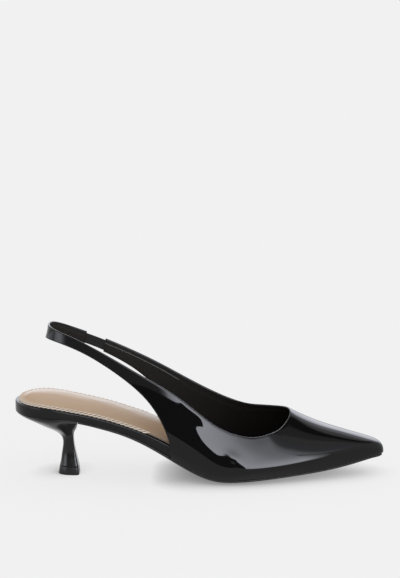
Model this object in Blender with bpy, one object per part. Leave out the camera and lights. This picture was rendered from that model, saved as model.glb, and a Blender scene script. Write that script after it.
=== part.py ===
"""A pointed slingback pump with a kitten heel, the right shoe of a pair, in metres.

The toe points along +X, the outer side of the foot is at -Y, and the shoe stands on z = 0.
"""

import math

import bmesh
import bpy
import numpy as np

# Driving dimensions
LENGTH = 0.262  # back of the heel seat to the toe tip
BALL_WIDTH = 0.070  # footbed across the ball
HEEL_HEIGHT = 0.0475  # floor to the footbed at the back of the seat
STRAP_HEIGHT = 0.110  # floor to the top of the sling strap at the back
WALL = 0.0015  # upper leather with its lining
GAP = 0.0003  # between one piece and the next
EDGE = 0.0005  # how far the edges of the sole's pieces are rounded
OUTSOLE = 0.0016
TOP_PIECE = 0.0058

FOOTBED_LENGTH = LENGTH - WALL - GAP
RING = 2.0  # the outline's parameter runs 0 at the heel, 1 at the toe, 2 at the heel again

# The sole, a row for each section from heel to toe. "along" is a share of the footbed's length,
# "lateral" and "medial" are half widths as shares of BALL_WIDTH, "rise" is the height of the
# footbed's underside as a share of HEEL_HEIGHT, and "board" is the footbed's thickness.
SOLE_COLUMNS = ("along", "lateral", "medial", "rise", "board")
SOLE = (
    (0.000, 0.000, 0.000, 1.000, 0.0074),
    (0.031, 0.262, 0.262, 0.998, 0.0074),
    (0.104, 0.372, 0.372, 0.982, 0.0070),
    (0.173, 0.368, 0.364, 0.944, 0.0056),
    (0.238, 0.366, 0.356, 0.862, 0.0058),
    (0.307, 0.376, 0.350, 0.750, 0.0058),
    (0.384, 0.402, 0.362, 0.555, 0.0075),
    (0.461, 0.432, 0.394, 0.311, 0.0091),
    (0.538, 0.452, 0.434, 0.124, 0.0088),
    (0.615, 0.452, 0.460, 0.098, 0.0076),
    (0.692, 0.415, 0.449, 0.127, 0.0063),
    (0.769, 0.346, 0.387, 0.162, 0.0055),
    (0.846, 0.263, 0.297, 0.204, 0.0047),
    (0.923, 0.169, 0.190, 0.274, 0.0042),
    (0.969, 0.101, 0.110, 0.326, 0.0040),
    (1.000, 0.000, 0.000, 0.344, 0.0040),
)
OUTSOLE_TUCK = 0.0010  # how far the outsole's edge is set in from the face of the upper
OUTSOLE_WAIST_TUCK = 0.0030  # the same at the heel breast
TREAD = 0.0034  # how far the middle of the outsole stands below its edge, under the ball
TREAD_WAIST = 0.0006  # the same at the waist and the toe
TREAD_MIDDLE = 0.60  # middle of the ball and its spread, shares of LENGTH
TREAD_SPREAD = 0.16
TREAD_INSET = 0.012  # how far in the tread is full under the ball
TREAD_EDGE = 0.0012  # the same at the waist and the toe
TOE_BOX = 0.75  # outline parameter where the toe box starts
FOOTBED_TOE = 0.0010  # how far the footbed is drawn in at the toe tip

# The last, a row for each section line that climbs from the sole's edge to the topline. "along"
# is its foot on the sole, and "top_x", "top_lateral" and so on its head on the topline: shares of
# LENGTH, BALL_WIDTH and STRAP_HEIGHT. The line leaves the sole by "rise" upwards and "flare"
# outwards, then stands off the straight line to the topline by the three swells, as shares of
# BALL_WIDTH.
LAST_COLUMNS = (
    "along", "top_x", "top_lateral", "top_medial", "high_lateral", "high_medial",
    "rise", "flare", "swell_low", "swell_mid", "swell_high",
)
LAST = (
    (0.000, 0.091, 0.000, 0.000, 1.000, 1.000, 0.060, 0.020, 0.080, 0.060, -0.065),
    (0.054, 0.119, 0.200, 0.200, 0.979, 0.976, 0.060, 0.015, 0.060, 0.060, -0.025),
    (0.135, 0.179, 0.271, 0.271, 0.927, 0.918, 0.060, 0.010, 0.050, 0.060, 0.012),
    (0.223, 0.260, 0.323, 0.329, 0.831, 0.834, 0.060, 0.014, 0.055, 0.055, 0.025),
    (0.315, 0.363, 0.374, 0.370, 0.694, 0.714, 0.055, 0.020, 0.056, 0.050, 0.024),
    (0.415, 0.454, 0.414, 0.405, 0.563, 0.591, 0.055, 0.027, 0.062, 0.052, 0.027),
    (0.519, 0.542, 0.436, 0.420, 0.403, 0.480, 0.055, 0.034, 0.063, 0.054, 0.030),
    (0.615, 0.611, 0.424, 0.400, 0.331, 0.419, 0.057, 0.042, 0.077, 0.062, 0.034),
    (0.723, 0.661, 0.370, 0.345, 0.314, 0.410, 0.065, 0.038, 0.078, 0.070, 0.038),
    (0.846, 0.705, 0.285, 0.260, 0.333, 0.418, 0.085, 0.022, 0.085, 0.070, 0.036),
    (0.954, 0.735, 0.150, 0.145, 0.382, 0.429, 0.105, 0.012, 0.090, 0.051, 0.006),
    (1.000, 0.746, 0.000, 0.000, 0.424, 0.424, 0.115, 0.010, 0.088, 0.043, -0.018),
)
SWELLS_AT = (0.20, 0.45, 0.78)

# The padded sock: a rim round a shallow dish
SOCK = 0.0012
SOCK_RIM = 0.0030
SOCK_SUNK = 0.0004
SOCK_DISH = 0.0006
SOCK_TOE = 0.0040  # how far it is drawn in at the toe tip

# The upper's pattern on the last
STRAP_CUT_LATERAL = 0.936  # where the sling strap's lower edge crosses the section lines
STRAP_CUT_MEDIAL = 0.900
QUARTER_FOOT = 0.428  # where the quarter's rear edge meets the sole, a share of FOOTBED_LENGTH
STRAP_BLEND = 0.2  # how far round the back the strap goes from one width to the other
CUT_REACH = 8.0  # how far forward the strap keeps its width
CUT_DROP = 2.6  # how steeply the rear edge comes down
GORE_TAB_END = 1.700  # the elastic runs between these two ends, on the medial side
GORE_STRAP_END = 1.747
GORE_CLEAR = 0.0015  # left between the elastic and each end, in the outline's parameter
GORE_MARGIN = 0.12  # share of the strap's width left bare above and below the elastic
ELASTIC = 0.0009

# The heel, a row for each level. "height" is a share of HEEL_HEIGHT, "gather" says how far the
# seat's outline has closed onto the stem, and the stem reaches from "back" to "front", shares of
# LENGTH, with half its width "half", a share of BALL_WIDTH.
HEEL_COLUMNS = ("height", "gather", "back", "front", "half")
HEEL = (
    (1.000, 0.000, 0.130, 0.168, 0.085),
    (0.940, 0.110, 0.130, 0.166, 0.082),
    (0.860, 0.340, 0.129, 0.163, 0.075),
    (0.780, 0.560, 0.129, 0.160, 0.068),
    (0.700, 0.770, 0.129, 0.157, 0.061),
    (0.620, 0.920, 0.129, 0.155, 0.057),
    (0.540, 0.985, 0.129, 0.155, 0.055),
    (0.460, 1.000, 0.128, 0.156, 0.056),
    (0.320, 1.000, 0.126, 0.160, 0.064),
    (0.200, 1.000, 0.121, 0.166, 0.082),
    (0.000, 1.000, 0.112, 0.175, 0.114),
)
HEEL_LEVELS = 18
HEEL_BREAST = 0.174  # front of the heel under the footbed, a share of LENGTH
HEEL_CENTRE = 0.115  # middle of the seat, a share of LENGTH
HEEL_INSET = 0.0006  # how far the seat is set in from the footbed's edge
STEM_BACK_ROUNDNESS = 2.4
STEM_FRONT_ROUNDNESS = 4.0
TOP_PIECE_FLARE = 0.06  # how much wider the top piece is on the floor than under the stem

# How finely the curved faces are divided
OUTLINE_STEPS = 72
UPPER_STEPS = 98
WALL_STEPS = 12
HEEL_STEPS = 40
SOCK_CROSSINGS = 4
ELASTIC_STEPS = 8
SEAT_SAMPLES = 400
WELD = 1e-7
SHARP_ANGLE = math.radians(35)


def ease(share):
    """A smooth step from 0 to 1."""
    share = np.clip(share, 0, 1)
    return share * share * (3 - 2 * share)


def columns(names, rows):
    return dict(zip(names, np.array(rows).T))


def turn(along):
    """The outline's parameter, 0 at the heel and 1 at the toe, for a share of the length."""
    return np.arccos(1 - 2 * np.clip(along, 0, 1)) / math.pi


def ring_spline(knots, values, at):
    """A smooth closed curve through the values, as a function of the outline's parameter."""
    count = len(knots)
    step = np.diff(np.append(knots, knots[0] + RING))
    slope = np.diff(np.append(values, values[0])) / step
    matrix = np.zeros((count, count))
    for i in range(count):
        matrix[i, i - 1] += step[i - 1]
        matrix[i, i] += 2 * (step[i - 1] + step[i])
        matrix[i, (i + 1) % count] += step[i]
    bend = np.linalg.solve(matrix, 6 * (slope - np.roll(slope, 1)))
    at = np.mod(at, RING)
    i = np.clip(np.searchsorted(knots, at, "right") - 1, 0, count - 1)
    j = (i + 1) % count
    u = at - knots[i]
    lean = slope[i] - step[i] * (2 * bend[i] + bend[j]) / 6
    return values[i] + u * lean + u**2 * bend[i] / 2 + u**3 * (bend[j] - bend[i]) / (6 * step[i])


def both_sides(along, lateral, medial, at):
    """A ring spline through one value per row on the lateral side and one on the medial side."""
    there = turn(along)
    knots = np.concatenate([there, RING - there[-2:0:-1]])
    values = np.concatenate([lateral, medial[-2:0:-1]])
    return ring_spline(knots, values, at)


sole = columns(SOLE_COLUMNS, SOLE)
last = columns(LAST_COLUMNS, LAST)
heel = columns(HEEL_COLUMNS, HEEL)


def plan(at, grow):
    """Points of the footbed's outline grown by this much, with the directions that face out."""
    def point(s):
        x = FOOTBED_LENGTH * (1 - np.cos(math.pi * s)) / 2
        y = both_sides(sole["along"], -sole["lateral"], sole["medial"], s) * BALL_WIDTH
        return x, y

    x, y = point(at)
    nudge = 1e-4
    ahead, behind = point(at + nudge), point(at - nudge)
    run, side = ahead[0] - behind[0], ahead[1] - behind[1]
    size = np.hypot(run, side)
    out = np.stack([side / size, -run / size, np.zeros_like(size)], axis=-1)
    return x + grow * out[:, 0], y + grow * out[:, 1], out


def underside(x):
    """Height of the footbed's underside."""
    at = turn(x / FOOTBED_LENGTH)
    return both_sides(sole["along"], sole["rise"], sole["rise"], at) * HEEL_HEIGHT


def upside(x):
    """Height of the footbed's top face."""
    at = turn(x / FOOTBED_LENGTH)
    return underside(x) + both_sides(sole["along"], sole["board"], sole["board"], at)


def spline_weights(t, index, degree, knots):
    """The share that one control point has in a B-spline at each t."""
    if degree == 0:
        final = knots[index + 1] == knots[-1]
        inside = (knots[index] <= t) & ((t < knots[index + 1]) | (final & (t <= knots[-1])))
        return np.where(inside & (knots[index] < knots[index + 1]), 1.0, 0.0)
    total = np.zeros_like(t)
    before = knots[index + degree] - knots[index]
    after = knots[index + degree + 1] - knots[index + 1]
    if before > 0:
        total += (t - knots[index]) / before * spline_weights(t, index, degree - 1, knots)
    if after > 0:
        left = (knots[index + degree + 1] - t) / after
        total += left * spline_weights(t, index + 1, degree - 1, knots)
    return total


def last_column(name, at, lateral_sign=1.0):
    lateral = last.get(name, last.get(name + "_lateral"))
    medial = last.get(name, last.get(name + "_medial"))
    return both_sides(last["along"], lateral_sign * lateral, medial, at)


def wall(at, t):
    """Points on the last's face: at along the sole's edge, t from the sole (0) to the topline (1)."""
    x, y, out = plan(at, WALL + GAP)
    foot = np.stack([x, y, underside(x)], axis=-1)
    head = np.stack(
        [
            last_column("top_x", at) * LENGTH,
            last_column("top", at, -1.0) * BALL_WIDTH,
            last_column("high", at) * STRAP_HEIGHT,
        ],
        axis=-1,
    )
    up = np.array([0.0, 0.0, 1.0])
    chord = head - foot
    stands = out + up
    along = np.sum(stands * chord, axis=-1) / np.sum(chord * chord, axis=-1)
    off = stands - along[:, None] * chord
    off /= np.linalg.norm(off, axis=-1)[:, None]
    rise = last_column("rise", at)[:, None] * BALL_WIDTH
    flare = last_column("flare", at)[:, None] * BALL_WIDTH
    points = [foot, foot + rise * up + flare * out]
    for share, name in zip(SWELLS_AT, ("swell_low", "swell_mid", "swell_high")):
        points.append(foot + share * chord + last_column(name, at)[:, None] * BALL_WIDTH * off)
    points.append(head)
    degree = 3
    inner = np.linspace(0, 1, len(points) - degree + 1)
    knots = np.concatenate([np.zeros(degree), inner, np.ones(degree)])
    face = np.zeros(t.shape + (3,))
    for index, point in enumerate(points):
        face += spline_weights(t, index, degree, knots)[..., None] * point[:, None, :]
    return face


def cut(at):
    """Where the pattern's lower edge crosses the section line: the sole, or the strap's edge."""
    at = np.mod(at + RING / 2, RING) - RING / 2
    lateral = ease((at + STRAP_BLEND) / (2 * STRAP_BLEND))
    strap = STRAP_CUT_MEDIAL + (STRAP_CUT_LATERAL - STRAP_CUT_MEDIAL) * lateral
    share = np.abs(at) / turn(QUARTER_FOOT)
    return strap * np.clip(1 - share**CUT_REACH, 0, 1) ** (1 / CUT_DROP)


def new_object(name, bm, material):
    bmesh.ops.remove_doubles(bm, verts=bm.verts, dist=WELD)
    mesh = bpy.data.meshes.new(name)
    bm.to_mesh(mesh)
    bm.free()
    mesh.shade_smooth()
    mesh.set_sharp_from_angle(angle=SHARP_ANGLE)
    obj = bpy.data.objects.new(name, mesh)
    obj.data.materials.append(material)
    bpy.context.scene.collection.objects.link(obj)
    return obj


def new_material(name, colour, roughness, coat=0.0):
    material = bpy.data.materials.new(name)
    material.use_nodes = True
    shader = material.node_tree.nodes["Principled BSDF"]
    shader.inputs["Base Color"].default_value = (*colour, 1.0)
    shader.inputs["Roughness"].default_value = roughness
    shader.inputs["Coat Weight"].default_value = coat
    return material


def ring_of(bm, points):
    return [bm.verts.new(point) for point in points]


def bridge(bm, low, high):
    """Faces between two closed rings, facing out where the rings run anticlockwise from above."""
    for i in range(len(low)):
        bm.faces.new((low[i - 1], low[i], high[i], high[i - 1]))


def span(bm, ring, whole, facing_up, crossings=1, dish=0.0):
    """Faces across an outline from its lateral side to its medial side, sunk by dish between them."""
    count = len(ring) if whole else len(ring) - 1
    rows = []
    for i in range(count // 2 + 1):
        start, end = ring[i], ring[(count - i) % len(ring)]
        row = [start]
        for k in range(1, crossings if start is not end else 1):
            share = k / crossings
            point = start.co.lerp(end.co, share)
            point.z -= dish * 4 * share * (1 - share)
            row.append(bm.verts.new(point))
        rows.append(row + [end])
    for behind, ahead in zip(rows, rows[1:]):
        steps = max(len(behind), len(ahead)) - 1
        for k in range(steps):
            corners = [
                behind[min(k, len(behind) - 1)], ahead[min(k, len(ahead) - 1)],
                ahead[min(k + 1, len(ahead) - 1)], behind[min(k + 1, len(behind) - 1)],
            ]
            corners = list(dict.fromkeys(corners))
            bm.faces.new(corners if facing_up else corners[::-1])


def slab(name, levels, material, start=0.0, crossings=1, dish=0.0):
    """A solid that follows the outline. Each level is how far it grows and how high it is there."""
    whole = start == 0.0
    at = np.linspace(start, RING - start, OUTLINE_STEPS + 1)
    if whole:
        at = at[:-1]
    bm = bmesh.new()
    rings = []
    for grow, height in levels:
        x, y, _ = plan(at, grow(at) if callable(grow) else grow)
        rings.append(ring_of(bm, np.stack([x, y, height(x)], axis=-1)))
    for low, high in zip(rings, rings[1:]):
        bridge(bm, low, high)
    span(bm, rings[0], whole, False)
    span(bm, rings[-1], whole, True, crossings, dish)
    return new_object(name, bm, material)


def build_outsole(material):
    breast = float(turn((HEEL_BREAST * LENGTH + GAP) / FOOTBED_LENGTH))
    forepart = float(turn(QUARTER_FOOT))

    def edge(at):
        ahead = ease((np.minimum(at, RING - at) - breast) / (forepart - breast))
        return WALL + GAP - OUTSOLE_WAIST_TUCK + (OUTSOLE_WAIST_TUCK - OUTSOLE_TUCK) * ahead

    def tread(at):
        return edge(at) - TREAD_EDGE - (TREAD_INSET - TREAD_EDGE) * np.sin(math.pi * at) ** 2

    def low(x):
        return underside(x) - GAP - OUTSOLE

    def lowest(x):
        ball = np.exp(-(((x / LENGTH - TREAD_MIDDLE) / TREAD_SPREAD) ** 2))
        return np.maximum(low(x) - TREAD_WAIST - (TREAD - TREAD_WAIST) * ball, 0)

    return slab(
        "outsole",
        [
            (tread, lowest),
            (lambda at: edge(at) - EDGE, low),
            (edge, lambda x: low(x) + EDGE),
            (edge, lambda x: low(x) + OUTSOLE),
        ],
        material,
        start=breast,
    )


def toe_shrink(at, inset, toe):
    """Draws an outline in by inset, and by toe more at the very tip, where the upper closes over."""
    return -inset - toe * ease((np.minimum(at, RING - at) - TOE_BOX) / (1 - TOE_BOX))


def build_footbed(material):
    def rounded(at):
        return toe_shrink(at, EDGE, FOOTBED_TOE)

    def full(at):
        return toe_shrink(at, 0, FOOTBED_TOE)

    return slab(
        "footbed",
        [
            (rounded, underside),
            (full, lambda x: underside(x) + EDGE),
            (full, lambda x: upside(x) - EDGE),
            (rounded, upside),
        ],
        material,
    )


def build_sock(material):
    levels = (
        (EDGE, 0),
        (0, EDGE),
        (0, SOCK - EDGE),
        (EDGE, SOCK),
        (SOCK_RIM - EDGE, SOCK),
        (SOCK_RIM, SOCK - SOCK_SUNK),
    )
    return slab(
        "sock",
        [
            (
                lambda at, inset=inset: toe_shrink(at, inset, SOCK_TOE),
                lambda x, height=height: upside(x) + GAP + height,
            )
            for inset, height in levels
        ],
        material,
        crossings=SOCK_CROSSINGS,
        dish=SOCK_DISH,
    )


def stem_radius(angle, reach, half):
    """Distance from a stem's axis to its face: round behind, squarer at the breast."""
    roundness = np.where(np.cos(angle) < 0, STEM_BACK_ROUNDNESS, STEM_FRONT_ROUNDNESS)
    far = np.abs(np.cos(angle) / reach) ** roundness + np.abs(np.sin(angle) / half) ** roundness
    return far ** (-1 / roundness)


def seat_radius(angle, inset):
    """Distance from the middle of the seat to the footbed's outline, cut off at the breast."""
    x, y, _ = plan(np.linspace(0, RING, SEAT_SAMPLES), -inset)
    x = x - HEEL_CENTRE * LENGTH
    seat = x < HEEL_BREAST * LENGTH
    facing = np.arctan2(y, -x)[seat]
    order = np.argsort(facing)
    wrapped = np.arctan2(np.sin(angle), -np.cos(angle))
    outline = np.interp(wrapped, facing[order], np.hypot(x, y)[seat][order])
    ahead = np.cos(angle) * outline
    front = (HEEL_BREAST - HEEL_CENTRE) * LENGTH
    return outline * np.minimum(1, front / np.maximum(ahead, front))


def heel_ring(level):
    """Points of the heel at a level from 0, under the footbed, to 1, on the top piece."""
    angle = np.linspace(0, 2 * math.pi, HEEL_STEPS, endpoint=False)
    share = 1 - level * (1 - (TOP_PIECE + GAP) / HEEL_HEIGHT)
    fallen = 1 - heel["height"]
    value = {
        name: both_sides(fallen, heel[name], heel[name], turn(1 - share)) for name in HEEL_COLUMNS
    }
    reach = (value["front"] - value["back"]) * LENGTH / 2
    middle = (value["front"] + value["back"]) * LENGTH / 2
    half = value["half"] * BALL_WIDTH
    gather = value["gather"]
    seat = seat_radius(angle, HEEL_INSET)
    radius = (1 - gather) * seat + gather * stem_radius(angle, reach, half)
    centre = (1 - gather) * HEEL_CENTRE * LENGTH + gather * middle
    x = centre + radius * np.cos(angle)
    y = radius * np.sin(angle)
    sloped = (1 - gather) * (underside(x) - HEEL_HEIGHT)
    return np.stack([x, y, share * HEEL_HEIGHT - GAP * (1 - level) + sloped], axis=-1)


def build_heel(material):
    bm = bmesh.new()
    levels = np.linspace(1, 0, HEEL_LEVELS)
    rings = [ring_of(bm, heel_ring(level)) for level in levels]
    for low, high in zip(rings, rings[1:]):
        bridge(bm, low, high)
    bm.faces.new(rings[0][::-1])
    span(bm, rings[-1], True, True)
    return new_object("heel", bm, material)


def build_top_piece(material):
    base = heel_ring(1.0)
    middle = base.mean(axis=0)
    reach = np.linalg.norm(base - middle, axis=1).mean()
    bm = bmesh.new()
    rings = []
    for height, inset in ((0, EDGE), (EDGE, 0), (TOP_PIECE, 0)):
        flare = TOP_PIECE_FLARE * (1 - height / TOP_PIECE)
        points = middle + (base - middle) * (1 + flare - inset / reach)
        points[:, 2] = height
        rings.append(ring_of(bm, points))
    for low, high in zip(rings, rings[1:]):
        bridge(bm, low, high)
    bm.faces.new(rings[0][::-1])
    bm.faces.new(rings[-1])
    return new_object("top_piece", bm, material)


def sheet(name, at, low, high, material, thickness):
    """A skin on the last between two lines, thickened inwards."""
    steps = np.linspace(0, 1, WALL_STEPS + 1)
    t = low[:, None] + (high - low)[:, None] * steps[None, :]
    bm = bmesh.new()
    rows = [ring_of(bm, row) for row in wall(at, t)]
    for behind, ahead in zip(rows, rows[1:]):
        for k in range(WALL_STEPS):
            bm.faces.new((behind[k], ahead[k], ahead[k + 1], behind[k + 1]))
    obj = new_object(name, bm, material)
    solidify = obj.modifiers.new("wall", "SOLIDIFY")
    solidify.thickness = thickness
    solidify.offset = -1.0
    solidify.use_even_offset = True
    return obj


def build_upper(material):
    foot = float(turn(QUARTER_FOOT))
    stops = (GORE_STRAP_END - RING, foot, RING - foot, GORE_TAB_END)
    at = [stops[0]]
    for start, end in zip(stops, stops[1:]):
        count = round(UPPER_STEPS * (end - start) / (stops[-1] - stops[0]))
        at.extend(np.linspace(start, end, count + 1)[1:])
    at = np.array(at)
    return sheet("upper", at, cut(at), np.ones_like(at), material, WALL)


def build_elastic(material):
    at = np.linspace(GORE_TAB_END + GORE_CLEAR, GORE_STRAP_END - GORE_CLEAR, ELASTIC_STEPS)
    strap = 1 - cut(at)
    low = cut(at) + GORE_MARGIN * strap
    high = 1 - GORE_MARGIN * strap
    return sheet("elastic", at, low, high, material, ELASTIC)


def centre_on_floor(objects):
    """Moves the shoe so that the middle of its footprint box is the world's origin."""
    bpy.context.view_layer.update()
    graph = bpy.context.evaluated_depsgraph_get()
    corners = []
    for obj in objects:
        evaluated = obj.evaluated_get(graph)
        corners.extend(np.array(vertex.co) for vertex in evaluated.data.vertices)
    middle = (np.min(corners, axis=0) + np.max(corners, axis=0)) / 2
    for obj in objects:
        obj.location = (-middle[0], -middle[1], 0)


def main():
    for obj in list(bpy.data.objects):
        bpy.data.objects.remove(obj)
    patent = new_material("black_patent", (0.010, 0.010, 0.011), 0.08, 1.0)
    covered = new_material("black_heel_cover", (0.012, 0.012, 0.013), 0.22, 0.5)
    tan = new_material("tan_sock", (0.42, 0.30, 0.21), 0.5)
    rubber = new_material("black_rubber", (0.015, 0.015, 0.015), 0.55)
    webbing = new_material("black_elastic", (0.013, 0.013, 0.014), 0.8)
    centre_on_floor(
        [
            build_outsole(rubber),
            build_footbed(covered),
            build_sock(tan),
            build_heel(covered),
            build_top_piece(rubber),
            build_upper(patent),
            build_elastic(webbing),
        ]
    )


main()
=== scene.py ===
"""Looks of the slingback pump: finer faces, lining, padded sock, stitches, materials, light and camera.

Metres, in the frame's own axes: the toe points along +X, the outer side is at -Y, the floor is z = 0.
"""

import math

import bpy
import numpy as np
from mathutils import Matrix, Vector


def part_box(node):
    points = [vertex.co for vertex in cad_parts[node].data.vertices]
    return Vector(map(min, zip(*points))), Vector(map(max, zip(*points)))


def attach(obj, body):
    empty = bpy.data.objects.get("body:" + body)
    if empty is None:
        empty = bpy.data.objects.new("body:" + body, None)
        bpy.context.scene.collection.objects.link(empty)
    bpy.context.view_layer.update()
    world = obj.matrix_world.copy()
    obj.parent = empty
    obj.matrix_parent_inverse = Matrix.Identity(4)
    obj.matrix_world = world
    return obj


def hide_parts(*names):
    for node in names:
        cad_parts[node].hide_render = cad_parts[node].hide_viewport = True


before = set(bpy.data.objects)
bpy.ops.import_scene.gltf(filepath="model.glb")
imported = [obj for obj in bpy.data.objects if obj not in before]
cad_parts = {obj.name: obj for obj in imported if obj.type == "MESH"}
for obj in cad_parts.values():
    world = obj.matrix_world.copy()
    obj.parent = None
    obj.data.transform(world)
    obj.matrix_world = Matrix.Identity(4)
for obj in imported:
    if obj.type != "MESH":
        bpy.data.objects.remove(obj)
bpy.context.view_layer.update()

# Driving dimensions, as in the part
LENGTH = 0.262  # back of the heel seat to the toe tip
BALL_WIDTH = 0.070  # footbed across the ball
HEEL_HEIGHT = 0.0475  # floor to the footbed at the back of the seat
STRAP_HEIGHT = 0.110  # floor to the top of the sling strap at the back
WALL = 0.0015  # upper leather with its lining
GAP = 0.0003  # between one piece and the next
OUTSOLE = 0.0016
TOP_PIECE = 0.0058
FOOTBED_LENGTH = LENGTH - WALL - GAP
RING = 2.0  # the outline's parameter runs 0 at the heel, 1 at the toe, 2 at the heel again

# The sole, a row for each section from heel to toe. "along" is a share of the footbed's length,
# "lateral" and "medial" are half widths as shares of BALL_WIDTH, "rise" is the height of the
# footbed's underside as a share of HEEL_HEIGHT, and "board" is the footbed's thickness.
SOLE_COLUMNS = ("along", "lateral", "medial", "rise", "board")
SOLE = (
    (0.000, 0.000, 0.000, 1.000, 0.0074),
    (0.031, 0.262, 0.262, 0.998, 0.0074),
    (0.104, 0.372, 0.372, 0.982, 0.0070),
    (0.173, 0.368, 0.364, 0.944, 0.0056),
    (0.238, 0.366, 0.356, 0.862, 0.0058),
    (0.307, 0.376, 0.350, 0.750, 0.0058),
    (0.384, 0.402, 0.362, 0.555, 0.0075),
    (0.461, 0.432, 0.394, 0.311, 0.0091),
    (0.538, 0.452, 0.434, 0.124, 0.0088),
    (0.615, 0.452, 0.460, 0.098, 0.0076),
    (0.692, 0.415, 0.449, 0.127, 0.0063),
    (0.769, 0.346, 0.387, 0.162, 0.0055),
    (0.846, 0.263, 0.297, 0.204, 0.0047),
    (0.923, 0.169, 0.190, 0.274, 0.0042),
    (0.969, 0.101, 0.110, 0.326, 0.0040),
    (1.000, 0.000, 0.000, 0.344, 0.0040),
)
OUTSOLE_TUCK = 0.0010  # how far the outsole's edge is set in from the face of the upper
OUTSOLE_WAIST_TUCK = 0.0030  # the same at the heel breast
OUTSOLE_ROUND = 0.0005
TREAD = 0.0034  # how far the middle of the outsole stands below its edge, under the ball
TREAD_WAIST = 0.0006  # the same at the waist and the toe
TREAD_MIDDLE = 0.60  # middle of the ball and its spread, shares of LENGTH
TREAD_SPREAD = 0.16
TREAD_INSET = 0.012  # how far in the tread is full under the ball
TREAD_EDGE = 0.0012  # the same at the waist and the toe
TOE_BOX = 0.75  # outline parameter where the toe box starts
FOOTBED_TOE = 0.0010  # how far the footbed is drawn in at the toe tip
BAND_ROUND = 0.0012  # rounding of the covered band round the footbed, at its top
BAND_FOOT_ROUND = 0.0004  # the same at its foot

# The last, a row for each section line that climbs from the sole's edge to the topline. "along"
# is its foot on the sole, and "top_x", "top_lateral" and so on its head on the topline: shares of
# LENGTH, BALL_WIDTH and STRAP_HEIGHT. The line leaves the sole by "rise" upwards and "flare"
# outwards, then stands off the straight line to the topline by the three swells, as shares of
# BALL_WIDTH.
LAST_COLUMNS = (
    "along", "top_x", "top_lateral", "top_medial", "high_lateral", "high_medial",
    "rise", "flare", "swell_low", "swell_mid", "swell_high",
)
LAST = (
    (0.000, 0.091, 0.000, 0.000, 1.000, 1.000, 0.060, 0.020, 0.080, 0.060, -0.065),
    (0.054, 0.119, 0.200, 0.200, 0.979, 0.976, 0.060, 0.015, 0.060, 0.060, -0.025),
    (0.135, 0.179, 0.271, 0.271, 0.927, 0.918, 0.060, 0.010, 0.050, 0.060, 0.012),
    (0.223, 0.260, 0.323, 0.329, 0.831, 0.834, 0.060, 0.014, 0.055, 0.055, 0.025),
    (0.315, 0.363, 0.374, 0.370, 0.694, 0.714, 0.055, 0.020, 0.056, 0.050, 0.024),
    (0.415, 0.454, 0.414, 0.405, 0.563, 0.591, 0.055, 0.027, 0.062, 0.052, 0.027),
    (0.519, 0.542, 0.436, 0.420, 0.403, 0.480, 0.055, 0.034, 0.063, 0.054, 0.030),
    (0.615, 0.611, 0.424, 0.400, 0.331, 0.419, 0.057, 0.042, 0.077, 0.062, 0.034),
    (0.723, 0.661, 0.370, 0.345, 0.314, 0.410, 0.065, 0.038, 0.078, 0.070, 0.038),
    (0.846, 0.705, 0.285, 0.260, 0.333, 0.418, 0.085, 0.022, 0.085, 0.070, 0.036),
    (0.954, 0.735, 0.150, 0.145, 0.382, 0.429, 0.105, 0.012, 0.090, 0.051, 0.006),
    (1.000, 0.746, 0.000, 0.000, 0.424, 0.424, 0.115, 0.010, 0.088, 0.043, -0.018),
)
SWELLS_AT = (0.20, 0.45, 0.78)

# The upper's pattern on the last
STRAP_CUT_LATERAL = 0.936  # where the sling strap's lower edge crosses the section lines
STRAP_CUT_MEDIAL = 0.900
QUARTER_FOOT = 0.428  # where the quarter's rear edge meets the sole, a share of FOOTBED_LENGTH
STRAP_BLEND = 0.2  # how far round the back the strap goes from one width to the other
CUT_REACH = 8.0  # how far forward the strap keeps its width
CUT_DROP = 2.6  # how steeply the rear edge comes down
GORE_TAB_END = 1.700  # the elastic runs between these two ends, on the medial side
GORE_STRAP_END = 1.747
GORE_TUCK = 0.004  # how far the elastic goes in under each end, in the outline's parameter
GORE_MARGIN = 0.12  # share of the strap's width left bare above and below the elastic
ELASTIC = 0.0009
ELASTIC_SUNK = 0.0003  # how far its face lies below the strap's
ELASTIC_RIBS = 9
ELASTIC_RIB = 0.00007
FOLD = 0.0024  # how far the folded edge shows above the lining's cut edge
FOLD_ROWS = (0.0, 0.5, 1.0, 1.14, 1.4)  # rows of the inner face down from the topline, in folds
CUT_EDGE_ROW = 2  # the row whose faces are the lining's cut edge
LINING_STEP = 0.0002  # how far the lining stands proud of the folded edge
CUT_EDGE_SEEN = (1.56, 1.70)  # where along the outline the cut edge is pale
LINING_FADE = 0.15  # share of the section over which the lining thins out at its lower edge
LINING_SHADE_TONES = ((0.021, 0.020, 0.019), (0.008, 0.0075, 0.007))  # painted shade: the lining's tone behind, and the darker tone in front, deeper in the shoe
LINING_SHADE_SPAN = (-0.05, 0.02)  # where along the shoe the painted shade goes over from one tone to the other

# Soft folds in the outer side of the upper: middle along the shoe and above the floor, half length,
# half width, lean from the level and height of the ridge
FOLDS = (
    (0.1375, 0.0225, 0.0180, 0.0090, math.radians(-55), 0.00056),
    (0.1550, 0.0220, 0.0065, 0.0035, math.radians(-30), 0.00055),
    (0.1302, 0.0538, 0.0110, 0.0040, math.radians(-46), 0.00040),
    (0.1830, 0.0350, 0.0100, 0.0060, 0.0, 0.00100),
)

# The lip along the throat: how far the edge turns out, how far down that fades, and where along the
# outline it starts, is full, starts to fade and ends
LIP = 0.0010
LIP_DEPTH = 0.0030
LIP_SPAN = (0.56, 0.69, 0.70, 0.75)

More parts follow.
